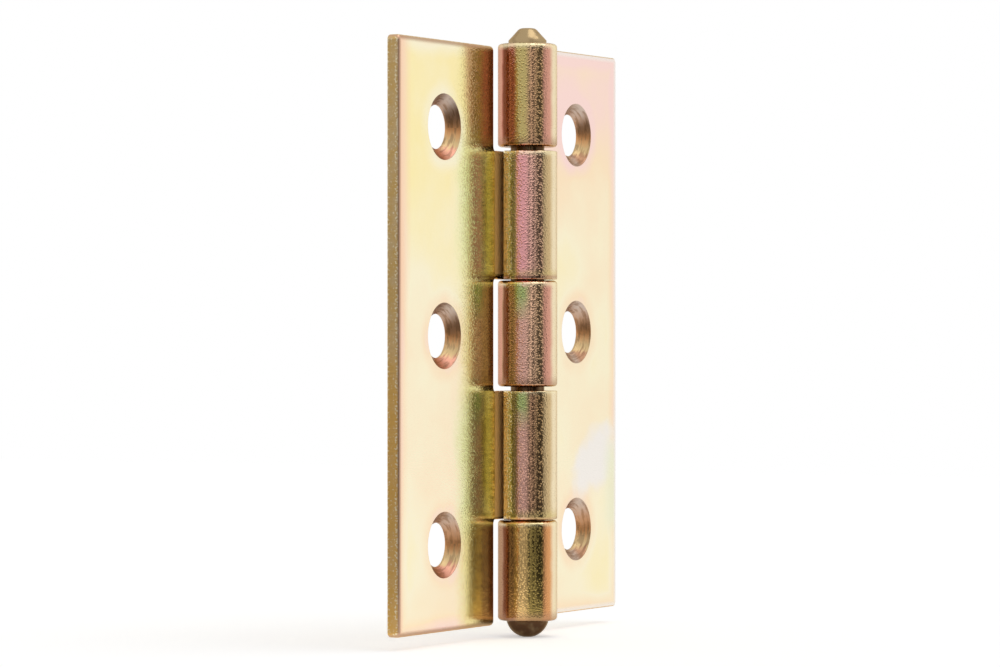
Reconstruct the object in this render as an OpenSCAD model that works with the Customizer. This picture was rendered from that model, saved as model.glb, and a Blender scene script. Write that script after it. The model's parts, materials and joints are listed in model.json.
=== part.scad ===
// Half-wide butt hinge of pressed steel, shown open flat with the pin upright.
// Two flat leaves carry tongues that are rolled round one riveted pin.
// The pin's axis is Z, the countersunk front faces -Y, and the frame leaf lies towards +X.

/* [Leaves] */
// Height of each leaf's plate, along the pin
leaf_height = 80; // [60:0.5:140]
// From the pin's axis to a leaf's outer edge
leaf_width = 31.5; // [26:0.1:50]
// Thickness of the sheet
sheet = 1.75; // [1.2:0.05:2.5]
// Radius of a plate's corners, seen from the front
leaf_corner_r = 0.7; // [0.6:0.1:2]
// Radius that the blanking die leaves along one face of each leaf
die_roll_r = 0.5; // [0.1:0.05:0.55]
// Radius that tumbling leaves along the other face
burr_break_r = 0.15; // [0.05:0.05:0.4]
// How much lower the swing leaf's plate hangs than the frame leaf's
swing_plate_drop = 0.52; // [0:0.02:2]

/* [Barrel] */
// Diameter of the pin's shank
pin_d = 4.7; // [3:0.1:7]
// Radial clearance between the pin and the knuckles
pin_clearance = 0.03; // [0.01:0.01:0.1]
// Length of the middle knuckle of the frame leaf
middle_knuckle = 14.7; // [8:0.1:24]
// Length of each knuckle of the swing leaf
swing_knuckle = 17.8; // [8:0.1:24]
// Mean gap between neighbouring knuckles, along the pin
knuckle_gap = 0.37; // [0.3:0.01:1.2]
// How far the swing leaf has settled towards the knuckles below its own
swing_settle = 0.22; // [0:0.02:0.25]
// How much lower the row of knuckles sits than the middle of the frame leaf
barrel_drop = 0.2; // [0:0.05:1]
// Gap between the barrel and the edge of the notch that it turns in
notch_clearance = 1; // [0.5:0.1:3]
// Radius in the corners where a tongue leaves its plate
notch_fillet_r = 0.6; // [0.3:0.1:1]
// Gap between a rolled end and the front face of its own leaf
seam_gap = 0.66; // [0.2:0.02:1.2]

/* [Screw holes] */
// From the pin's axis to the line of holes
hole_line = 19.15; // [12:0.05:40]
// Distance between neighbouring holes
hole_pitch = 28.25; // [15:0.25:45]
// Diameter of the screw hole
screw_hole_d = 6; // [3:0.1:7]
// Diameter of the countersink on the front face
countersink_d = 9; // [7.5:0.1:12]
// Depth of the countersink
countersink_depth = 1.3; // [0.5:0.05:1.4]
// Chamfer left by the punch round a hole on the back face
hole_break = 0.18; // [0.05:0.01:0.3]

/* [Pin ends] */
// Diameter of the peened end at the top
peen_d = 5.3; // [5:0.1:8]
// Diameter of the flat on the peened end
peen_flat_d = 2.2; // [1:0.1:4]
// Straight height of the peened end
peen_rim = 0.5; // [0.1:0.05:1]
// Whole height of the peened end
peen_height = 2.2; // [1:0.05:3]
// Radius round the flat on the peened end
peen_round_r = 0.8; // [0.1:0.05:0.9]
// Diameter of the domed head at the bottom
dome_d = 5.9; // [5:0.1:9]
// Diameter of the flat under the domed head
dome_flat_d = 1.6; // [0.5:0.1:3]
// Height of the domed head
dome_height = 2.3; // [1:0.05:3]

/* [Hidden] */
$fn = 96;
eps = 0.02;
gold = [0.83, 0.70, 0.40];
pin_gold = [0.70, 0.54, 0.27];

bore_r = pin_d / 2 + pin_clearance;
barrel_r = bore_r + sheet;
notch_x = barrel_r + notch_clearance;
seam_angle = asin((bore_r - seam_gap) / barrel_r);

half_height = leaf_height / 2;
mid_end = middle_knuckle / 2;
swing_low = mid_end + knuckle_gap;
swing_high = swing_low + swing_knuckle;
end_low = swing_high + knuckle_gap;
frame_mid = -barrel_drop;
swing_mid = frame_mid - swing_settle;

// Places a shape drawn on a leaf's front face: drawn up becomes up, drawn height points out of the face.
module on_front() {
    translate([0, bore_r, 0]) rotate([90, 0, 0]) children();
}

// The same for the back face.
module on_back() {
    translate([0, barrel_r, 0]) mirror([0, 1, 0]) rotate([90, 0, 0]) children();
}

// A rectangle with its lower left corner at the origin and four rounded corners.
module rounded_plate(w, h, r) {
    translate([r, 0]) square([w - 2 * r, h]);
    translate([0, r]) square([w, h - 2 * r]);
    for (x = [r, w - r], y = [r, h - r]) translate([x, y]) circle(r);
}

// What a rounding of radius r takes off a square corner at the origin, with the metal below and to the left.
module edge_waste(r) {
    translate([-r, -r]) difference() {
        square(r + eps);
        circle(r);
    }
}

// The same along an upright edge, with the metal to the left of it (side 1) or to the right (side -1).
module upright_waste(x, low, high, side, r) {
    translate([x, high, 0]) rotate([90, 0, 0]) linear_extrude(high - low)
        mirror([side < 0 ? 1 : 0, 0]) edge_waste(r);
}

// The same along a level edge, with the metal below it (side 1) or above it (side -1).
module level_waste(from, to, y, side, r) {
    translate([from, y, 0]) rotate([90, 0, 90]) linear_extrude(to - from)
        mirror([side < 0 ? 1 : 0, 0]) edge_waste(r);
}

// The same round a quarter of an outside corner.
module outside_waste(x, y, turn, r) {
    translate([x, y, 0]) rotate([0, 0, turn]) rotate_extrude(angle = 90)
        translate([leaf_corner_r, 0]) edge_waste(r);
}

// The same round a quarter of an inside corner.
module inside_waste(x, y, turn, r) {
    translate([x, y, 0]) rotate([0, 0, turn]) rotate_extrude(angle = 90)
        translate([notch_fillet_r, 0]) mirror([1, 0]) edge_waste(r);
}

// A leaf's outline from the front: the plate, its tongues and the fillets at their roots.
// A tongue is [low, high]; a root is [height, side], with the notch above it (1) or below it (-1).
module leaf_outline(tongues, roots, low) {
    translate([notch_x, low]) rounded_plate(leaf_width - notch_x, leaf_height, leaf_corner_r);
    for (t = tongues)
        translate([0, t[0]]) square([notch_x + leaf_corner_r, t[1] - t[0]]);
    for (r = roots)
        translate([notch_x - notch_fillet_r, r[0]]) mirror([0, r[1] < 0 ? 1 : 0]) difference() {
            square([notch_fillet_r + eps, notch_fillet_r]);
            translate([0, notch_fillet_r]) circle(notch_fillet_r);
        }
}

// The rounding of radius r along the whole outline of one face.
// A notch is the straight part of its edge, [low, high].
module leaf_waste(roots, notches, low, inner_x, r) {
    c = leaf_corner_r;
    f = notch_fillet_r;
    high = low + leaf_height;
    upright_waste(leaf_width, low + c, high - c, 1, r);
    outside_waste(leaf_width - c, high - c, 0, r);
    outside_waste(leaf_width - c, low + c, -90, r);
    level_waste(inner_x, leaf_width - c, high, 1, r);
    level_waste(inner_x, leaf_width - c, low, -1, r);
    for (n = notches) upright_waste(notch_x, n[0], n[1], -1, r);
    for (t = roots) {
        level_waste(0, notch_x - f, t[0], t[1], r);
        inside_waste(notch_x - f, t[0] + t[1] * f, t[1] > 0 ? -90 : 0, r);
    }
    if (inner_x > notch_x) {
        outside_waste(notch_x + c, high - c, 90, r);
        outside_waste(notch_x + c, low + c, 180, r);
    }
}

// One screw hole, drawn along its axis from the front face.
module screw_hole() {
    cs_r = countersink_d / 2;
    r = screw_hole_d / 2;
    rotate_extrude() polygon([
        [0, 1], [cs_r, 1], [cs_r, 0], [r, -countersink_depth], [r, hole_break - sheet],
        [r + hole_break, -sheet], [r + hole_break, -sheet - 1], [0, -sheet - 1]
    ]);
}

// Cut through the wall of a knuckle, whose corners are rounded towards the pin and on the outside.
module knuckle_wall(low, high, inner_r, outer_r) {
    h = high - low;
    translate([bore_r + inner_r, low]) square([sheet - inner_r - outer_r, h]);
    translate([bore_r, low + inner_r]) square([sheet / 2, h - 2 * inner_r]);
    translate([bore_r + sheet / 2, low + outer_r]) square([sheet / 2, h - 2 * outer_r]);
    for (y = [low + inner_r, high - inner_r]) translate([bore_r + inner_r, y]) circle(inner_r);
    for (y = [low + outer_r, high - outer_r]) translate([barrel_r - outer_r, y]) circle(outer_r);
}

// A tongue's rolled part: from the back of the leaf round the pin to the seam.
module knuckle(low, high, inner_r, outer_r) {
    rotate([0, 0, 90]) rotate_extrude(angle = 270 + seam_angle) knuckle_wall(low, high, inner_r, outer_r);
}

// One leaf of bent sheet, drawn towards +X, with its edges rounded on the front and on the back.
module leaf(tongues, roots, notches, low, inner_x, front_r, back_r) {
    difference() {
        on_front() translate([0, 0, -sheet]) linear_extrude(sheet) leaf_outline(tongues, roots, low);
        on_front() leaf_waste(roots, notches, low, inner_x, front_r);
        on_back() leaf_waste(roots, notches, low, inner_x, back_r);
        for (i = [-1 : 1])
            on_front() translate([hole_line, low + half_height + i * hole_pitch, 0]) screw_hole();
    }
    for (t = tongues) knuckle(t[0], t[1], front_r, back_r);
}

// Right leaf, with the top, middle and bottom knuckles; the die rounded its back.
module three_knuckle_leaf() {
    f = notch_fillet_r;
    m = frame_mid;
    color(gold) leaf(
        tongues = [[-half_height, m - end_low], [m - mid_end, m + mid_end], [m + end_low, half_height]],
        roots = [[m - end_low, 1], [m - mid_end, -1], [m + mid_end, 1], [m + end_low, -1]],
        notches = [[m - end_low + f, m - mid_end - f], [m + mid_end + f, m + end_low - f]],
        low = -half_height,
        inner_x = 0,
        front_r = burr_break_r,
        back_r = die_roll_r
    );
}

// Left leaf, with the two knuckles between them; the die rounded its front.
module two_knuckle_leaf() {
    f = notch_fillet_r;
    c = leaf_corner_r;
    m = swing_mid;
    low = -half_height - swing_plate_drop;
    color(gold) mirror([1, 0, 0]) leaf(
        tongues = [[m - swing_high, m - swing_low], [m + swing_low, m + swing_high]],
        roots = [[m - swing_high, -1], [m - swing_low, 1], [m + swing_low, -1], [m + swing_high, 1]],
        notches = [
            [low + c, m - swing_high - f], [m - swing_low + f, m + swing_low - f],
            [m + swing_high + f, low + leaf_height - c]
        ],
        low = low,
        inner_x = notch_x + c,
        front_r = die_roll_r,
        back_r = burr_break_r
    );
}

// Half of the peened end's section, standing on the knuckle.
module peened_end() {
    r = peen_d / 2;
    flat = peen_flat_d / 2;
    slope = atan((peen_height - peen_rim) / (r - flat));
    cut = peen_round_r * tan(slope / 2);
    polygon([
        [0, 0], [r, 0], [r, peen_rim],
        [flat + cut * cos(slope), peen_height - cut * sin(slope)],
        [flat - cut, peen_height - peen_round_r],
        [flat - cut, peen_height], [0, peen_height]
    ]);
    translate([flat - cut, peen_height - peen_round_r]) circle(peen_round_r);
}

// Half of the domed head's section, hanging under the knuckle.
module domed_head() {
    r = dome_d / 2;
    flat = dome_flat_d / 2;
    rise = (r * r - flat * flat - dome_height * dome_height) / (2 * dome_height);
    intersection() {
        translate([0, rise]) circle(sqrt(r * r + rise * rise));
        translate([0, -dome_height]) square([r, dome_height]);
    }
}

// The rivet that the leaves turn on, closed over at the top.
module hinge_pin() {
    color(pin_gold) rotate_extrude() {
        translate([0, -half_height]) square([pin_d / 2, leaf_height]);
        translate([0, half_height]) intersection() {
            peened_end();
            square([peen_d, 2 * peen_height]);
        }
        translate([0, -half_height]) domed_head();
    }
}

three_knuckle_leaf();
two_knuckle_leaf();
hinge_pin();
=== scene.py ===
"""Rolled butt hinge in yellow chromate: plating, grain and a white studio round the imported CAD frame."""

import json
import math
from types import SimpleNamespace
from typing import NamedTuple

import bpy
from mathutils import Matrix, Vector


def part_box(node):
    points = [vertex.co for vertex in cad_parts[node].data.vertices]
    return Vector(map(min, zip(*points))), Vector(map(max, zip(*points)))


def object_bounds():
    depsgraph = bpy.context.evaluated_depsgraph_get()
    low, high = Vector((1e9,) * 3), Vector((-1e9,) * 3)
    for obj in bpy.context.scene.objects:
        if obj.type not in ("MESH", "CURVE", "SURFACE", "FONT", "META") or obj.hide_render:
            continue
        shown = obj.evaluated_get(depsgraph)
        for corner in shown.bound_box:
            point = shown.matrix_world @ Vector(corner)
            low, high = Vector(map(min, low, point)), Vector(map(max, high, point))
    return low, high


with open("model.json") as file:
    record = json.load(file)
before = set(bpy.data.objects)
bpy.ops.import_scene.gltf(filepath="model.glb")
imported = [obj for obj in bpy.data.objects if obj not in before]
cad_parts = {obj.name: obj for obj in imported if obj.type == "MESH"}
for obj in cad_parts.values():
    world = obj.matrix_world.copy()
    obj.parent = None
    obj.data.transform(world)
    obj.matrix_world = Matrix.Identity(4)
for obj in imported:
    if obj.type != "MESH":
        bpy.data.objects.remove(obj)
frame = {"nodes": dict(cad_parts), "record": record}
CAD_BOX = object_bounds()

bl_info = {
    "name": "Butt Hinge Finish",
    "version": (1, 0, 0),
    "blender": (4, 5, 0),
    "location": "3D View > Sidebar > Hinge",
    "description": "Plates a rolled butt hinge in yellow chromate and sets it in a white studio",
    "category": "Object",
}

FRAME_LEAF, SWING_LEAF, PIN = "three_knuckle_leaf", "two_knuckle_leaf", "hinge_pin"
MM = 0.001
WHITE, BLACK = (1.0, 1.0, 1.0), (0.0, 0.0, 0.0)

# Sizes of the hinge, read from the frame where it holds them
MOUNTS = {m["name"]: m for m in frame["record"]["mounts"]}
HOLE_LINE = MOUNTS["frame_leaf_screws"]["pos_m"][0]
HOLE_PITCH = MOUNTS["frame_leaf_screws"]["dims"]["spacing_y_mm"] * MM / 2
SWING_DROP = MOUNTS["swing_leaf_screws"]["pos_m"][2]
LEAF_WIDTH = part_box(FRAME_LEAF)[1].x
LEAF_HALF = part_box(FRAME_LEAF)[1].z
BARREL_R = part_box(FRAME_LEAF)[1].y
COUNTERSINK_R = 4.5 * MM
NOTCH_X = BARREL_R + 1.0 * MM
EDGE_MID = BARREL_R - 0.75 * MM
SHEET_FRONT = BARREL_R - 1.75 * MM
SWING_KNUCKLE_MID = 16.8 * MM

# Directions in plan: over the barrel's front from left to right, and out of that front
ACROSS = (0.48, -0.88)
AHEAD = (-0.88, -0.48)

# Places of the painted barrel reflection on the swing leaf's flat face beside the barrel, then of the film in the
# frame leaf's pale patch
BLOOM_X = -14.5 * MM
GREEN_X = (-8.0 * MM, -10.5 * MM)
ROOT_X = (-9.2 * MM, -7.4 * MM)
RED_X = (-14.5 * MM, -11.5 * MM)
RED_FADE_X = (-9.5 * MM, -6.5 * MM)
RED_Z = (22.0 * MM, 30.0 * MM)
PATCH_X, PATCH_Z = 25.0 * MM, -18.5 * MM
PATCH_WIDE, PATCH_HIGH, PATCH_LEAN = 6.5 * MM, 5.0 * MM, 0.45

# Where the barrel's bands start and where they are full, from -1 at its left rim to 1 at its right rim
RIM_BAND = (-0.82, -0.88)
FLANK_BAND = (-0.32, -0.50)
SHADE_BAND = (-0.14, 0.14)
# Band of painted shade on the barrel's shaded side
PAINTED_SHADE_BAND = (0.12, 0.40)
SIDE_BAND = (0.44, 0.58)
FAR_RIM_BAND = (0.72, 0.90)
# Where the painted highlight line runs on the swing leaf's flank
HIGHLIGHT_LINE = -0.64

# Inputs of the smoothing tree
CORNER, JOIN = "Corner angle", "Join distance"
JOIN_DISTANCE = 0.002 * MM

# Studio: the grey cards' tones by degrees round the room, their reach and height, the floor and the lamp
CARD_TONES = (
    (115, 1.0), (128, 0.72), (140, 0.64), (206, 0.64), (209, 0.75), (212, 0.10), (217, 0.08),
    (219, 0.95), (225, 0.95), (227, 0.06), (234, 0.06), (236, 0.70), (242, 0.70), (244, 0.11),
    (267, 0.11), (272, 0.55), (281, 0.66), (292, 0.92), (304, 1.0),
)
CARD_STEP = 3
CARD_NEAR, CARD_FAR, CARD_TOP = 0.03, 0.9, 0.2
CARD_WHITE_TO = 0.08
CARD_BRIGHT_FROM, CARD_BRIGHT_TO = math.radians(268), math.radians(284)
FLOOR_HALF = 0.6
SENSOR = 36.0
LAMP_PLACE = (0.15, -0.3, 0.75)


class Knuckle(NamedTuple):
    """A knuckle's ends in mm and the names of its tints, from the left rim over the front to the right side."""

    low: float
    high: float
    rim: str
    flank: str
    front: str
    head: str
    shade: str
    side: str


KNUCKLES = (
    Knuckle(-40.0, -26.1, rim="brown", flank="brown", front="orange", head="orange", shade="umber", side="amber"),
    Knuckle(-25.9, -7.8, rim="gold", flank="gold", front="plum", head="green", shade="rust", side="tan"),
    Knuckle(-7.6, 7.1, rim="salmon", flank="rust", front="plum", head="green", shade="bronze", side="salmon"),
    Knuckle(7.3, 25.2, rim="gold", flank="gold", front="mauve", head="mauve", shade="plum", side="tan"),
    Knuckle(25.7, 40.0, rim="salmon", flank="red", front="olive", head="olive", shade="fawn", side="salmon"),
)


def colour(name, description, default):
    return bpy.props.FloatVectorProperty(
        name=name, description=description, default=default, subtype="COLOR", min=0.0, max=1.0)


def length(name, description, default):
    return bpy.props.FloatProperty(name=name, description=description, default=default, unit="LENGTH")


def share(name, description, default):
    return bpy.props.FloatProperty(
        name=name, description=description, default=default, min=0.0, max=1.0, subtype="FACTOR")


def angle(name, description, degrees):
    return bpy.props.FloatProperty(
        name=name, description=description, default=math.radians(degrees), subtype="ANGLE")


class HingeLeafFinish(bpy.types.PropertyGroup):
    """Colours and grain of the leaves."""

    yellow: colour("Yellow", "Thinnest film on a flat face", (0.985, 0.86, 0.46))
    # Cream also serves as painted glints and a painted highlight line on the swing leaf's flank
    cream: colour("Cream", "Common film on a flat face", (0.975, 0.905, 0.67))
    peach: colour("Peach", "Thicker film, near holes and edges", (0.985, 0.80, 0.57))
    pink: colour("Pink", "Thickest film on a flat face", (0.975, 0.73, 0.69))
    mint: colour("Mint", "Film beyond pink, in small patches", (0.80, 0.88, 0.52))
    # Lime and Moss are painted reflection of the barrel in the swing leaf's front
    lime: colour("Lime", "Flat face beside the barrel", (0.80, 0.72, 0.20))
    moss: colour("Moss", "Flat face beside the swing leaf's own knuckles", (0.58, 0.72, 0.20))
    pale: colour("Pale", "Patch where the film is almost gone", (0.91, 0.88, 0.84))
    # Olive is also the painted shade at the foot of the swing leaf's knuckles
    olive: colour("Olive", "Barrel, plain film", (0.66, 0.52, 0.20))
    green: colour("Green", "Barrel, green film", (0.48, 0.56, 0.22))
    mauve: colour("Mauve", "Barrel, pink film", (0.96, 0.45, 0.45))
    plum: colour("Plum", "Barrel, pink film turning brown", (0.86, 0.48, 0.38))
    drab: colour("Drab", "Head and foot of the countersinks", (0.60, 0.48, 0.40))
    # Deep olive is painted reflection of the barrel's root in the swing leaf's front
    deep: colour("Deep olive", "Flat face at the root of the swing leaf's knuckles", (0.60, 0.47, 0.03))
    blush: colour("Blush", "Film along the swing leaf's outer edge", (0.97, 0.64, 0.46))
    honey: colour("Honey", "Lower half of the sheared edge", (0.80, 0.42, 0.08))
    tan: colour("Tan", "Barrel, pale brown film", (0.60, 0.43, 0.22))
    fawn: colour("Fawn", "Barrel, shaded side of the highest knuckle", (0.64, 0.37, 0.21))
    # Gold is also the painted highlight along each knuckle's head
    gold: colour("Gold", "Barrel, bright film beside the root", (1.0, 0.90, 0.58))
    # Orange is also painted reflection of the barrel by the swing leaf's notches and in the strip beside the
    # barrel
    orange: colour("Orange", "Barrel, bright film near the foot", (0.92, 0.60, 0.24))
    amber: colour("Amber", "Barrel, side of the lowest knuckle", (0.70, 0.33, 0.13))
    apricot: colour("Apricot", "Barrel, far rim", (0.90, 0.78, 0.54))
    bronze: colour("Bronze", "Barrel, shaded side of the middle knuckle", (0.90, 0.55, 0.36))
    # Umber is also painted shade on the barrel's shaded side, and painted dark specks on the swing leaf's flank
    # and in the painted barrel reflection
    umber: colour("Umber", "Barrel, dark film on its shaded side", (0.42, 0.30, 0.09))
    rust: colour("Rust", "Reddish brown film on the barrel and in the countersinks", (0.55, 0.31, 0.18))
    # Salmon is also the painted reflection of the highest knuckle near the swing leaf's top
    salmon: colour("Salmon", "Film on the barrel's sides and beside its highest knuckle", (0.66, 0.32, 0.23))
    red: colour("Red", "Barrel, flank of the highest knuckle", (0.52, 0.19, 0.13))
    # Brown is also the painted shade at the foot of the frame leaf's knuckles
    brown: colour("Brown", "Film worn thin along rounded edges", (0.42, 0.23, 0.14))
    # Soot and Ember colour the painted dark reflection line along the barrel's flank; Soot also darkens the
    # countersinks' turning streaks
    soot: colour("Soot", "Barrel, border of the flank on the swing leaf", (0.20, 0.10, 0.05))
    ember: colour("Ember", "Barrel, border of the flank on the frame leaf", (0.15, 0.04, 0.015))
    cut: colour("Cut edge", "Sheared edge of the sheet", (0.60, 0.39, 0.14))
    grain: length("Grain", "Distance between the plating's grains", 0.28 * MM)
    grain_depth: length("Grain depth", "Height of the grains on the barrel", 0.033 * MM)
    flat_grain: share("Grain on flats", "Height of the grains on a flat face, as a share of the barrel's", 0.08)
    near_grain: share("Grain near barrel", "The same on a flat face close to the barrel", 0.30)
    flat_roughness: share("Roughness of flats", "Roughness of the flat faces", 0.13)
    barrel_roughness: share("Roughness of barrel", "Roughness of the barrel", 0.12)
    cut_roughness: share("Roughness of cuts", "Roughness of sheared edges and countersinks", 0.38)
    corner: angle("Corner", "Edges that bend more than this stay sharp", 38)


class HingePinFinish(bpy.types.PropertyGroup):
    """Colours and turning marks of the pin."""

    gold: colour("Gold", "Peened upper end", (0.40, 0.29, 0.155))
    brown: colour("Brown", "Shank and domed lower head", (0.085, 0.043, 0.022))
    line_pitch: length("Line pitch", "Distance between the turning lines", 0.22 * MM)
    line_depth: length("Line depth", "Depth of the turning lines", 0.006 * MM)
    roughness: share("Roughness", "Roughness of the peened end", 0.23)
    corner: angle("Corner", "Edges that bend more than this stay sharp", 65)


class HingeStage(bpy.types.PropertyGroup):
    """Camera, floor and light."""

    camera_place: bpy.props.FloatVectorProperty(
        name="Camera place", description="Where the camera stands, level with the hinge's middle",
        default=(-0.48680, -0.26326, -0.0002), subtype="TRANSLATION", unit="LENGTH")
    camera_turn: angle("Camera turn", "Angle between the line of sight and the leaves' front", 61.2)
    lens: bpy.props.FloatProperty(
        name="Lens", description="Focal length on a 36 mm wide sensor", default=143.37, unit="CAMERA")
    floor: colour("Floor", "Pale floor under the hinge", (0.9, 0.9, 0.9))
    floor_glow: share("Floor glow", "What the lit floor lacks for white", 0.435)
    lamp_power: share("Lamp", "Strength of the soft lamp overhead", 0.5)
    lamp_spread: angle("Lamp spread", "Angle over which the lamp's light comes in", 42)
    fill: share("Fill", "Light from all round on the floor", 0.5)


class Shade:
    """Short forms for the nodes of one material or world."""

    def __init__(self, tree):
        self.nodes, self.links = tree.nodes, tree.links

    def feed(self, socket, value):
        if isinstance(value, bpy.types.NodeSocket):
            self.links.new(value, socket)
        elif socket.type == "RGBA" and len(value) == 3:
            socket.default_value = (*value, 1.0)
        else:
            socket.default_value = value

    def math(self, operation, *values):
        node = self.nodes.new("ShaderNodeMath")
        node.operation = operation
        for socket, value in zip(node.inputs, values):
            self.feed(socket, value)
        return node.outputs[0]

    def chain(self, operation, values):
        result = values[0]
        for value in values[1:]:
            result = self.math(operation, result, value)
        return result

    def total(self, *values):
        return self.chain("ADD", values)

    def times(self, *values):
        return self.chain("MULTIPLY", values)

    def most(self, *values):
        return self.chain("MAXIMUM", values)

    def minus(self, a, b):
        return self.math("SUBTRACT", a, b)

    def over(self, a, b):
        return self.math("DIVIDE", a, b)

    def apart(self, a, b):
        return self.math("ABSOLUTE", self.minus(a, b))

    def distance(self, a, b):
        return self.math("POWER", self.total(self.times(a, a), self.times(b, b)), 0.5)

    def line(self, value, gain, base):
        """The value times gain, plus base."""
        return self.math("MULTIPLY_ADD", value, gain, base)

    def step(self, value, start, end):
        """Rises softly from 0 at start to 1 at end; start may be the larger one."""
        node = self.nodes.new("ShaderNodeMapRange")
        node.interpolation_type = "SMOOTHSTEP"
        for name, given in (("Value", value), ("From Min", start), ("From Max", end)):
            self.feed(node.inputs[name], given)
        return node.outputs[0]

    def noise(self, place, size, detail=2.0, stretch=(1, 1, 1)):
        """Noise from 0 to 1 whose lumps are about size across, drawn out along the axes by stretch."""
        if stretch != (1, 1, 1):
            scale = self.nodes.new("ShaderNodeMapping")
            scale.inputs["Scale"].default_value = [1 / s for s in stretch]
            self.links.new(place, scale.inputs["Vector"])
            place = scale.outputs[0]
        node = self.nodes.new("ShaderNodeTexNoise")
        node.inputs["Scale"].default_value = 1 / size
        node.inputs["Detail"].default_value = detail
        self.links.new(place, node.inputs["Vector"])
        return node.outputs[0]

    def centred(self, noise, spread):
        """Noise moved to run from -spread / 2 to spread / 2."""
        return self.times(self.minus(noise, 0.5), spread)

    def wander(self, place, size, spread, detail=2.0):
        return self.centred(self.noise(place, size, detail), spread)

    def pimples(self, place, pitch):
        """Round bumps from 0 to 1, scattered about pitch apart."""
        node = self.nodes.new("ShaderNodeTexVoronoi")
        node.inputs["Scale"].default_value = 1 / pitch
        self.links.new(place, node.inputs["Vector"])
        return self.step(node.outputs["Distance"], 0.55, 0.0)

    def blend(self, amount, a, b):
        node = self.nodes.new("ShaderNodeMix")
        node.data_type = "RGBA"
        for index, value in ((0, amount), (6, a), (7, b)):
            self.feed(node.inputs[index], value)
        return node.outputs[2]

    def ramp(self, value, stops):
        """Colours at given values; a stop is (value, colour), from low to high."""
        low, high = stops[0][0], stops[-1][0]
        node = self.nodes.new("ShaderNodeValToRGB")
        points = node.color_ramp.elements
        while len(points) > 1:
            points.remove(points[-1])
        for i, (at, tint) in enumerate(stops):
            point = points[0] if i == 0 else points.new((at - low) / (high - low))
            point.position = (at - low) / (high - low)
            point.color = (*tint, 1.0)
        self.links.new(self.over(self.minus(value, low), high - low), node.inputs[0])
        return node.outputs[0]

    def bump(self, height, depth):
        node = self.nodes.new("ShaderNodeBump")
        node.inputs["Distance"].default_value = depth
        self.links.new(height, node.inputs["Height"])
        return node.outputs[0]

    def object_place(self):
        """The point in the object's own frame, and its three coordinates."""
        place = self.nodes.new("ShaderNodeTexCoord").outputs["Object"]
        split = self.nodes.new("ShaderNodeSeparateXYZ")
        self.links.new(place, split.inputs[0])
        return (place, *split.outputs)

    def seen_straight(self):
        """1 for what the camera sees, directly, in metal or through glass."""
        path = self.nodes.new("ShaderNodeLightPath").outputs
        return self.most(path["Is Camera Ray"], path["Is Glossy Ray"], path["Is Transmission Ray"])


def metal(name):
    """A new metal, its node helper and its shader."""
    material = bpy.data.materials.new(name)
    material.use_nodes = True
    shader = material.node_tree.nodes["Principled BSDF"]
    shader.inputs["Metallic"].default_value = 1.0
    shader.inputs["Specular Tint"].default_value = (0.80, 0.70, 0.58, 1.0)
    return material, Shade(material.node_tree), shader


def leaf_places(s):
    """What a leaf's films and grain depend on, as sockets by name."""
    at = SimpleNamespace()
    at.place, at.x, at.y, at.z = s.object_place()
    at.height = s.over(at.z, MM)
    at.out = s.math("ABSOLUTE", at.x)
    at.right = s.math("GREATER_THAN", at.x, 0.0)
    at.left = s.minus(1.0, at.right)
    at.front = s.step(at.y, EDGE_MID + 0.4 * MM, EDGE_MID - 0.4 * MM)
    at.swing_front = s.times(at.front, at.left)
    at.drift = s.wander(at.place, 9 * MM, 4 * MM)

    def along(direction):
        """Place along a direction in plan, in radii of the barrel."""
        return s.over(s.total(s.times(at.x, direction[0]), s.times(at.y, direction[1])), BARREL_R)

    # The barrel, the part of its height that belongs to the swing leaf, and the flank of that leaf's knuckles
    at.barrel = s.step(s.distance(at.x, at.y), BARREL_R * 1.15, BARREL_R * 1.02)
    at.plate = s.minus(1.0, at.barrel)
    at.across = along(ACROSS)
    at.from_swing = s.apart(s.math("ABSOLUTE", at.z), SWING_KNUCKLE_MID)
    at.swing = s.step(at.from_swing, 9.2 * MM, 8.6 * MM)
    at.flank = s.times(s.step(at.across, -0.50, -0.58), at.swing, at.barrel, s.step(along(AHEAD), 0.1, 0.35))
    # The swing leaf's strip between its notches, in the corner beside the barrel
    at.strip = s.times(at.left, at.swing, s.step(at.out, NOTCH_X + 0.1 * MM, NOTCH_X - 0.3 * MM),
                       s.step(s.apart(at.y, SHEET_FRONT), 0.25 * MM, 0.1 * MM))
    # Holes and edges; the swing leaf hangs a little lower than the frame leaf
    up = s.minus(at.z, s.times(at.left, SWING_DROP))
    at.nearest = s.times(s.math("ROUND", s.over(up, HOLE_PITCH)), HOLE_PITCH)
    at.hole_x, at.hole_z = s.minus(at.out, HOLE_LINE), s.minus(up, at.nearest)
    at.from_hole = s.distance(at.hole_x, at.hole_z)
    at.rim = s.minus(at.from_hole, COUNTERSINK_R)
    at.bored = s.step(at.rim, 0.05 * MM, -0.05 * MM)
    at.from_side = s.minus(LEAF_WIDTH, at.out)
    at.edge = s.math("MINIMUM", at.from_side, s.minus(LEAF_HALF, s.math("ABSOLUTE", up)))
    at.cut = s.times(s.step(at.edge, 0.22 * MM, 0.04 * MM), at.plate)
    at.rolled = s.step(at.edge, 0.9 * MM, 0.3 * MM)
    return at


def cloud_film(s, f, at):
    """Tint of a flat face: soft clouds, with more film round the holes and towards the edges."""
    slant = s.line(at.right, 0.75, -0.32)
    film = s.total(
        0.32,
        s.wander(at.place, 26 * MM, 0.9),
        s.wander(at.place, 5 * MM, 0.22, detail=3.0),
        s.times(s.step(at.rim, 2.5 * MM, 0.0), s.noise(at.place, 4 * MM), 0.4),
        s.times(s.step(at.edge, 3.0 * MM, 0.3 * MM), 0.3),
        s.times(s.step(at.z, 8 * MM, 34 * MM), slant),
    )
    return s.ramp(film, [(0.0, f.yellow), (0.3, f.cream), (0.55, f.peach), (0.85, f.pink)])


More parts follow.
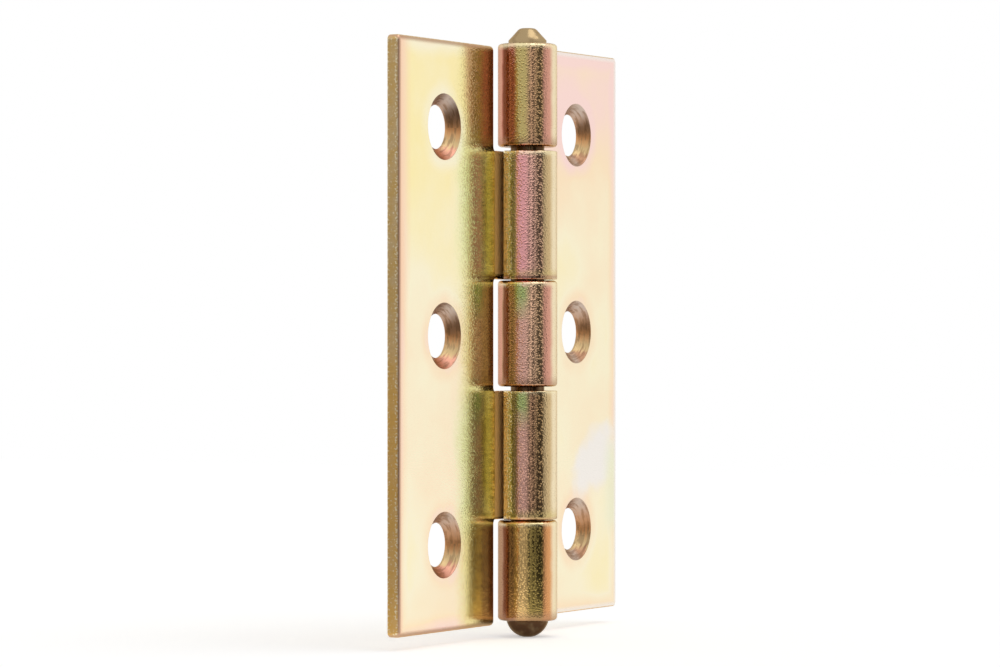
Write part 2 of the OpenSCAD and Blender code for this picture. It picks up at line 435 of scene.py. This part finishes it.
def painted_barrel_reflection(s, f, at, tint):
    """Painted reflection of the barrel on the swing leaf's front: green and yellow with a grainy border, red near
    its top, and a faint mint band along that border.
    """
    x = s.total(at.x, s.wander(at.place, 0.5 * MM, 1.6 * MM), at.drift)
    level = s.step(s.total(at.from_swing, s.wander(at.place, 6 * MM, 8 * MM)), 13 * MM, 5 * MM)
    bloom = s.step(s.apart(x, BLOOM_X), 3.2 * MM, 0.0)
    tint = s.blend(s.times(bloom, level, at.swing_front, 0.22), tint, f.mint)
    # Painted reflection: the zone where the barrel is mirrored, lime, and moss where the swing leaf's own knuckles
    # are mirrored
    near = s.times(s.step(x, BLOOM_X - 2.2 * MM, BLOOM_X + 2.8 * MM), at.swing_front)
    high = s.step(at.z, *RED_Z)
    greener = s.times(level, s.step(x, *GREEN_X))
    tint = s.blend(s.times(near, s.line(high, -0.1, 0.64)), tint, s.blend(greener, f.lime, f.moss))
    # Painted dark specks of the grain seen in that reflection
    dots = s.step(s.noise(at.place, 0.42 * MM, detail=1.0, stretch=(1.6, 1, 1)), 0.52, 0.38)
    tint = s.blend(s.times(near, dots, 0.15), tint, f.umber)
    # Painted reflection of the barrel's root in deep olive
    tint = s.blend(s.times(s.step(x, *ROOT_X), level, at.swing_front, 0.7), tint, f.deep)
    # Painted reflection of the highest knuckle's red near the leaf's top
    red = s.times(high, s.step(x, *RED_X), s.line(s.step(x, *RED_FADE_X), -0.3, 0.54))
    return s.blend(s.times(red, at.swing_front), tint, f.salmon)


def pale_patch(s, f, at, tint):
    """A pale patch low on the frame leaf's front, by its outer edge, and a green strip beside it."""
    z = s.over(s.minus(at.z, PATCH_Z), PATCH_HIGH)
    x = s.minus(s.over(s.minus(at.x, PATCH_X), PATCH_WIDE), s.times(z, PATCH_LEAN))
    away = s.total(s.times(x, x), s.times(z, z), s.wander(at.place, 4 * MM, 1.8))
    tint = s.blend(s.times(s.step(away, 1.5, 0.4), at.front), tint, f.pale)
    strip = s.times(s.step(at.x, LEAF_WIDTH - 5.0 * MM, LEAF_WIDTH - 1.0 * MM), at.front, 0.8,
                    s.step(s.apart(at.z, PATCH_Z - 4 * MM), 8 * MM, 4 * MM))
    return s.blend(strip, tint, s.blend(0.45, f.mint, f.pale))


def edge_film(s, f, at, tint):
    """Film along the edges: pink on the swing leaf, worn where the die rolled the edge round, and painted
    reflection in orange by the notches.
    """
    wide = s.step(at.z, -8 * MM, 12 * MM)
    glow = s.step(at.from_side, s.line(wide, 2.2 * MM, 1.6 * MM), 0.5 * MM)
    tint = s.blend(s.times(glow, s.line(wide, 0.35, 0.5), at.left), tint, f.blush)
    tint = s.blend(s.times(at.rolled, 0.75), tint, s.blend(at.right, f.brown, f.pale))
    # Painted reflection of the barrel in orange, by the notches on the swing leaf's front
    notch = s.step(s.minus(at.out, NOTCH_X), 1.4 * MM, -0.1 * MM)
    return s.blend(s.times(notch, at.swing_front, 0.5), tint, f.orange)


def flat_film(s, f, at):
    """Tint of a flat face."""
    tint = cloud_film(s, f, at)
    for layer in (painted_barrel_reflection, pale_patch, edge_film):
        tint = layer(s, f, at, tint)
    return tint


def barrel_film(s, f, at):
    """Tint of the barrel: bands from left to right, with each knuckle's own colours, and painted shade, highlights
    and dark reflection lines.
    """

    def by_knuckle(band):
        stops = []
        for knuckle in KNUCKLES:
            tint = getattr(f, getattr(knuckle, band))
            stops += [(knuckle.low + 0.1, tint), (knuckle.high - 0.1, tint)]
        return s.ramp(at.height, stops)

    fronts, shaded_feet, lit_heads = [], [], []
    for knuckle in KNUCKLES:
        low, high = knuckle.low, knuckle.high
        front, head = getattr(f, knuckle.front), getattr(f, knuckle.head)
        fronts += [(low - 0.05, front), (high - 5.6, front), (high - 2.0, head), (high + 0.05, head)]
        shaded_feet += [(low + 0.3, WHITE), (low + 1.6, BLACK), (high, BLACK)]
        lit_heads += [(low, BLACK), (high - 0.9, BLACK), (high - 0.4, WHITE)]
    lumps = s.noise(at.place, 2.5 * MM)
    across = s.total(at.across, s.centred(lumps, 0.08))
    tint = s.ramp(s.total(at.height, s.centred(lumps, 4.0)), fronts)
    tint = s.blend(s.step(across, *FLANK_BAND), tint, by_knuckle("flank"))
    tint = s.blend(s.step(across, *RIM_BAND), tint, by_knuckle("rim"))
    tint = s.blend(s.step(across, *SHADE_BAND), tint, by_knuckle("shade"))
    # Painted shade: umber darkens the shaded side further
    tint = s.blend(s.times(s.step(across, *PAINTED_SHADE_BAND), 0.42), tint, f.umber)
    tint = s.blend(s.step(across, *SIDE_BAND), tint, by_knuckle("side"))
    # Painted dark reflection: a dark line along the flank's border, redder on the frame leaf's knuckles. On the
    # swing leaf's flank: dark flecks, and painted glints and a painted highlight line in cream
    shift = s.line(s.step(at.z, 2 * MM, -2 * MM), 0.05, 0.24)
    dark_line = s.step(s.apart(across, s.line(at.swing, shift, -0.73)), 0.14, 0.05)
    tint = s.blend(s.times(dark_line, s.line(at.swing, -0.2, 0.88)), tint, s.blend(at.swing, f.ember, f.soot))
    fine = s.noise(at.place, 0.5 * MM, detail=1.0)
    tint = s.blend(s.times(at.flank, s.step(fine, 0.48, 0.40), 0.45), tint, f.umber)
    # Painted glints and a painted highlight line in cream
    bright = s.most(s.step(fine, 0.51, 0.58), s.step(s.apart(across, HIGHLIGHT_LINE), 0.08, 0.02))
    tint = s.blend(s.times(at.flank, bright), tint, f.cream)
    tint = s.blend(s.step(across, *FAR_RIM_BAND), tint, f.apricot)
    # Painted shade at each knuckle's foot, brown on the frame leaf's and olive on the swing leaf's, and a painted
    # highlight in gold along each head
    tint = s.blend(s.times(s.ramp(at.height, shaded_feet), 0.7), tint, s.blend(at.swing, f.brown, f.olive))
    return s.blend(s.times(s.ramp(at.height, lit_heads), 0.6), tint, f.gold)


def countersink_film(s, f, at, turned):
    """Tint of the countersinks: streaked brown walls with a paler head and foot; the brown is the film's own, its
    change with height and side is painted reflection.
    """
    height = s.over(s.total(at.hole_z, s.centred(turned, 2.4 * MM)), COUNTERSINK_R)
    wall = s.ramp(height, [(-0.40, f.tan), (0.0, f.amber), (0.40, f.rust), (0.85, f.drab)])
    side = s.step(at.hole_x, 0.05 * COUNTERSINK_R, 0.42 * COUNTERSINK_R)
    foot = s.blend(side, s.blend(at.right, f.salmon, f.drab), f.brown)
    wall = s.blend(s.step(height, -0.50, -0.72), wall, foot)
    return s.blend(s.times(s.step(turned, 0.52, 0.40), 0.45), wall, f.soot)


def cut_film(s, f, at):
    """Tint of the sheared edges: brown, with bright specks along both borders."""
    border = s.step(s.apart(at.y, EDGE_MID), 0.35 * MM, 0.6 * MM)
    speck = s.step(s.total(s.noise(at.place, 0.3 * MM), s.times(border, 0.12)), 0.60, 0.72)
    mottle = s.blend(s.step(s.noise(at.place, 2.5 * MM, detail=3.0), 0.35, 0.65), f.cut, f.tan)
    mottle = s.blend(s.times(s.step(at.z, 8 * MM, -14 * MM), 0.45), mottle, f.honey)
    return s.blend(s.times(speck, 0.6), mottle, f.cream)


def turning_marks(s, at):
    """Noise drawn out round each hole."""
    ring = s.nodes.new("ShaderNodeCombineXYZ")
    s.feed(ring.inputs["X"], at.from_hole)
    s.feed(ring.inputs["Y"], s.times(s.math("ARCTAN2", at.hole_z, at.hole_x), 0.5 * MM))
    s.feed(ring.inputs["Z"], at.nearest)
    return s.noise(ring.outputs[0], 0.26 * MM)


def leaf_roughness(s, f, at):
    """Smooth faces, duller on cuts, countersinks and rolled edges and in the corner beside the barrel."""
    plain = s.line(at.barrel, f.barrel_roughness - f.flat_roughness, f.flat_roughness)
    dull = s.most(at.bored, at.cut, s.times(at.flank, 0.5), s.times(at.strip, 2.2),
                  s.times(at.rolled, at.plate, 0.8))
    rough = s.line(dull, f.cut_roughness - f.flat_roughness, plain)
    return s.total(rough, s.wander(at.place, 2.2 * MM, 0.07))


def leaf_relief(s, f, at, turned):
    """Grain, coarsest on the barrel and finer on the lowest knuckle, with the barrel's ends rounded off."""
    grain = s.total(s.pimples(at.place, f.grain), s.times(s.noise(at.place, f.grain), 0.6))
    beside = s.times(s.step(s.total(at.x, at.drift), BLOOM_X - 2 * MM, BLOOM_X + 3 * MM), at.swing_front,
                     s.line(s.step(at.z, 4 * MM, -6 * MM), -0.3, 1.0))
    coarse = s.total(f.flat_grain, s.times(beside, f.near_grain - f.flat_grain),
                     s.times(at.barrel, 1 - f.near_grain), s.times(at.flank, 1.2))
    coarse = s.times(coarse, s.line(s.step(at.z, -24 * MM, -30 * MM), -0.55, 1.0))
    shear = s.noise(at.place, 0.16 * MM, stretch=(1, 14, 1))
    ends = []
    for knuckle in KNUCKLES:
        low, high = knuckle.low, knuckle.high
        ends += [(low, WHITE), (low + 0.5, BLACK), (high - 0.5, BLACK), (high, WHITE)]
    end = s.ramp(at.height, ends)
    height = s.total(s.times(grain, coarse), s.times(shear, at.cut, 0.5), s.times(turned, at.bored, 0.9),
                     s.times(end, end, at.barrel, -4.5))
    return s.bump(height, f.grain_depth)


def leaf_metal(f):
    """Yellow chromate over zinc: tinted film, grainy barrel, raw-looking cuts and countersinks."""
    material, s, shader = metal("leaf_plating")
    at = leaf_places(s)
    turned = turning_marks(s, at)
    tint = s.blend(at.barrel, flat_film(s, f, at), barrel_film(s, f, at))
    # Painted reflection: orange lightens the strip in the corner beside the barrel
    tint = s.blend(at.strip, tint, f.orange)
    tint = s.blend(at.bored, tint, countersink_film(s, f, at, turned))
    tint = s.blend(at.cut, tint, cut_film(s, f, at))
    s.feed(shader.inputs["Base Color"], tint)
    s.feed(shader.inputs["Roughness"], leaf_roughness(s, f, at))
    s.feed(shader.inputs["Normal"], leaf_relief(s, f, at, turned))
    return material


def pin_metal(f):
    """The rivet: a gold peened end over a smoother brown shank and head, with turning lines all along."""
    material, s, shader = metal("pin_plating")
    place, _, _, z = s.object_place()
    blotch = s.noise(place, 1.4 * MM, detail=3.0)
    low = s.step(z, LEAF_HALF + 0.3 * MM, LEAF_HALF - 0.7 * MM)
    shade = s.line(s.minus(blotch, 0.5), 1.4, low)
    s.feed(shader.inputs["Base Color"], s.blend(shade, f.gold, f.brown))
    s.feed(shader.inputs["Roughness"], s.total(f.roughness, s.centred(blotch, 0.16), s.times(low, -0.07)))
    lines = s.math("SINE", s.times(z, 2 * math.pi / f.line_pitch))
    uneven = s.times(lines, s.noise(place, 0.9 * MM))
    s.feed(shader.inputs["Normal"], s.bump(s.total(uneven, s.noise(place, 0.3 * MM)), f.line_depth))
    return material


def smooth_tree():
    """Geometry Nodes: joins a node's triangles and shades it smooth, but for edges over the corner angle."""
    tree = bpy.data.node_groups.new("smooth_metal", "GeometryNodeTree")
    socket, new, link = tree.interface.new_socket, tree.nodes.new, tree.links.new
    socket("Geometry", in_out="INPUT", socket_type="NodeSocketGeometry")
    socket(CORNER, in_out="INPUT", socket_type="NodeSocketFloat").subtype = "ANGLE"
    socket(JOIN, in_out="INPUT", socket_type="NodeSocketFloat").subtype = "DISTANCE"
    socket("Geometry", in_out="OUTPUT", socket_type="NodeSocketGeometry")
    start, end = new("NodeGroupInput"), new("NodeGroupOutput")
    merge = new("GeometryNodeMergeByDistance")
    faces = new("GeometryNodeSetShadeSmooth")
    faces.domain = "FACE"
    faces.inputs["Shade Smooth"].default_value = True
    bend = new("GeometryNodeInputMeshEdgeAngle")
    sharp = new("FunctionNodeCompare")
    sharp.data_type, sharp.operation = "FLOAT", "GREATER_THAN"
    edges = new("GeometryNodeSetShadeSmooth")
    edges.domain = "EDGE"
    edges.inputs["Shade Smooth"].default_value = False
    link(start.outputs["Geometry"], merge.inputs["Geometry"])
    link(start.outputs[JOIN], merge.inputs["Distance"])
    link(merge.outputs[0], faces.inputs["Geometry"])
    link(faces.outputs[0], edges.inputs["Geometry"])
    link(bend.outputs["Unsigned Angle"], sharp.inputs[0])
    link(start.outputs[CORNER], sharp.inputs[1])
    link(sharp.outputs[0], edges.inputs["Selection"])
    link(edges.outputs[0], end.inputs[0])
    return tree


def dress(name, material, corner, flat_first):
    """Gives one CAD node its metal and smooth shading; flat_first keeps flat faces plain up to their borders."""
    node = frame["nodes"][name]
    node.data.materials.clear()
    node.data.materials.append(material)
    tree = bpy.data.node_groups.get("smooth_metal") or smooth_tree()
    smooth = node.modifiers.new("smooth_metal", "NODES")
    smooth.node_group = tree
    for label, value in ((CORNER, corner), (JOIN, JOIN_DISTANCE)):
        smooth[tree.interface.items_tree[label].identifier] = value
    if flat_first:
        flat = node.modifiers.new("flat_faces_first", "WEIGHTED_NORMAL")
        flat.mode, flat.weight, flat.keep_sharp = "FACE_AREA", 100, True


class HINGE_OT_plate_leaves(bpy.types.Operator):
    """Plates both leaves in yellow chromate"""

    bl_idname = "hinge.plate_leaves"
    bl_label = "Plate leaves"

    def execute(self, context):
        finish = context.scene.hinge_leaf
        material = leaf_metal(finish)
        for name in (FRAME_LEAF, SWING_LEAF):
            dress(name, material, finish.corner, flat_first=True)
        return {"FINISHED"}


class HINGE_OT_plate_pin(bpy.types.Operator):
    """Plates the pin and browns its shank and lower head"""

    bl_idname = "hinge.plate_pin"
    bl_label = "Plate pin"

    def execute(self, context):
        finish = context.scene.hinge_pin
        dress(PIN, pin_metal(finish), finish.corner, flat_first=False)
        return {"FINISHED"}


def make_camera(scene, stage):
    data = bpy.data.cameras.new("camera")
    data.lens, data.sensor_width, data.sensor_fit = stage.lens, SENSOR, "HORIZONTAL"
    data.clip_start, data.clip_end = 0.01, 50
    camera = bpy.data.objects.new("camera", data)
    camera.location = stage.camera_place
    sight = Vector((math.sin(stage.camera_turn), math.cos(stage.camera_turn), 0))
    camera.rotation_euler = sight.to_track_quat("-Z", "Y").to_euler()
    scene.collection.objects.link(camera)
    scene.camera = camera


def make_world(scene, stage):
    """White for the camera and for metal, softer as a light."""
    world = bpy.data.worlds.new("white_studio")
    world.use_nodes = True
    scene.world = world
    s = Shade(world.node_tree)
    background = s.nodes["Background"].inputs
    s.feed(background["Strength"], s.most(s.seen_straight(), stage.fill))
    s.feed(background["Color"], WHITE)


def stage_mesh(scene, name, points, faces, material_name):
    """A mesh of the stage with a new material, and the node helper of that material."""
    mesh = bpy.data.meshes.new(name)
    mesh.from_pydata(points, [], faces)
    thing = bpy.data.objects.new(name, mesh)
    scene.collection.objects.link(thing)
    material = bpy.data.materials.new(material_name)
    material.use_nodes = True
    mesh.materials.append(material)
    return thing, Shade(material.node_tree)


def make_floor(scene, stage):
    """Pale floor that takes the hinge's shadow; what its own light lacks for white is added for the camera."""
    low, half = CAD_BOX[0][2], FLOOR_HALF
    corners = [(-half, -half, low), (half, -half, low), (half, half, low), (-half, half, low)]
    floor, s = stage_mesh(scene, "floor", corners, [(0, 1, 2, 3)], "pale_floor")
    shader = s.nodes["Principled BSDF"].inputs
    s.feed(shader["Base Color"], stage.floor)
    s.feed(shader["Roughness"], 1.0)
    s.feed(shader["Specular IOR Level"], 0.0)
    s.feed(shader["Emission Color"], WHITE)
    s.feed(shader["Emission Strength"], s.times(s.seen_straight(), stage.floor_glow))


def make_cards(scene):
    """Grey cards with gaps between them on the camera's side of the room, which the metal mirrors."""
    low = CAD_BOX[0][2] + 0.5 * MM
    profile = [(CARD_NEAR, low), (CARD_FAR, low), (CARD_FAR, CARD_TOP)]
    turns = [math.radians(a) for a in range(CARD_TONES[0][0], CARD_TONES[-1][0] + 1, CARD_STEP)]
    points = [(r * math.cos(a), r * math.sin(a), z) for a in turns for r, z in profile]
    n = len(profile)
    faces = [(i * n + k, (i + 1) * n + k, (i + 1) * n + k + 1, i * n + k + 1)
             for i in range(len(turns) - 1) for k in range(n - 1)]
    cards, s = stage_mesh(scene, "grey_cards", points, faces, "grey_card")
    _, x, y, z = s.object_place()
    turn = s.math("MODULO", s.total(s.math("ARCTAN2", y, x), 2 * math.pi), 2 * math.pi)
    tone = s.ramp(s.over(turn, math.radians(1)), [(a, (v, v, v)) for a, v in CARD_TONES])
    # The part on the floor glows less than the upright part, but for its inner rim and the right-hand end
    inner = s.step(s.distance(x, y), CARD_WHITE_TO, CARD_NEAR)
    upright = s.math("GREATER_THAN", z, low + MM)
    lit = s.most(upright, s.step(turn, CARD_BRIGHT_FROM, CARD_BRIGHT_TO), inner)
    glow = s.nodes.new("ShaderNodeEmission")
    s.feed(glow.inputs["Color"], s.blend(inner, tone, WHITE))
    s.feed(glow.inputs["Strength"], s.line(lit, 0.55, 0.45))
    s.links.new(glow.outputs[0], s.nodes["Material Output"].inputs["Surface"])
    cards.visible_camera = cards.visible_diffuse = cards.visible_shadow = False


def make_lamp(scene, stage):
    data = bpy.data.lights.new("soft_lamp", "SUN")
    data.energy, data.angle = stage.lamp_power, stage.lamp_spread
    lamp = bpy.data.objects.new("soft_lamp", data)
    lamp.location = LAMP_PLACE
    lamp.rotation_euler = (-lamp.location).to_track_quat("-Z", "Y").to_euler()
    scene.collection.objects.link(lamp)


class HINGE_OT_stage(bpy.types.Operator):
    """Sets the camera, the white world, the floor, the cards and the lamp"""

    bl_idname = "hinge.stage"
    bl_label = "Set stage"

    def execute(self, context):
        scene, stage = context.scene, context.scene.hinge_stage
        scene.view_settings.view_transform = "Standard"
        make_camera(scene, stage)
        make_world(scene, stage)
        make_floor(scene, stage)
        make_cards(scene)
        make_lamp(scene, stage)
        return {"FINISHED"}


GROUPS = {"hinge_leaf": HingeLeafFinish, "hinge_pin": HingePinFinish, "hinge_stage": HingeStage}
OPERATORS = (HINGE_OT_plate_leaves, HINGE_OT_plate_pin, HINGE_OT_stage)


class HINGE_PT_panel(bpy.types.Panel):
    """The hinge's finish and stage"""

    bl_idname = "HINGE_PT_panel"
    bl_label = "Hinge"
    bl_space_type = "VIEW_3D"
    bl_region_type = "UI"
    bl_category = "Hinge"

    def draw(self, context):
        for (name, group), operator in zip(GROUPS.items(), OPERATORS):
            box = self.layout.box()
            for setting in group.__annotations__:
                box.prop(getattr(context.scene, name), setting)
            box.operator(operator.bl_idname)


CLASSES = (*GROUPS.values(), *OPERATORS, HINGE_PT_panel)


def register():
    for cls in CLASSES:
        bpy.utils.register_class(cls)
    for name, group in GROUPS.items():
        setattr(bpy.types.Scene, name, bpy.props.PointerProperty(type=group))


def unregister():
    for name in GROUPS:
        delattr(bpy.types.Scene, name)
    for cls in reversed(CLASSES):
        bpy.utils.unregister_class(cls)


def main():
    register()
    bpy.ops.hinge.plate_leaves()
    bpy.ops.hinge.plate_pin()
    bpy.ops.hinge.stage()


if __name__ == "__main__":
    main()
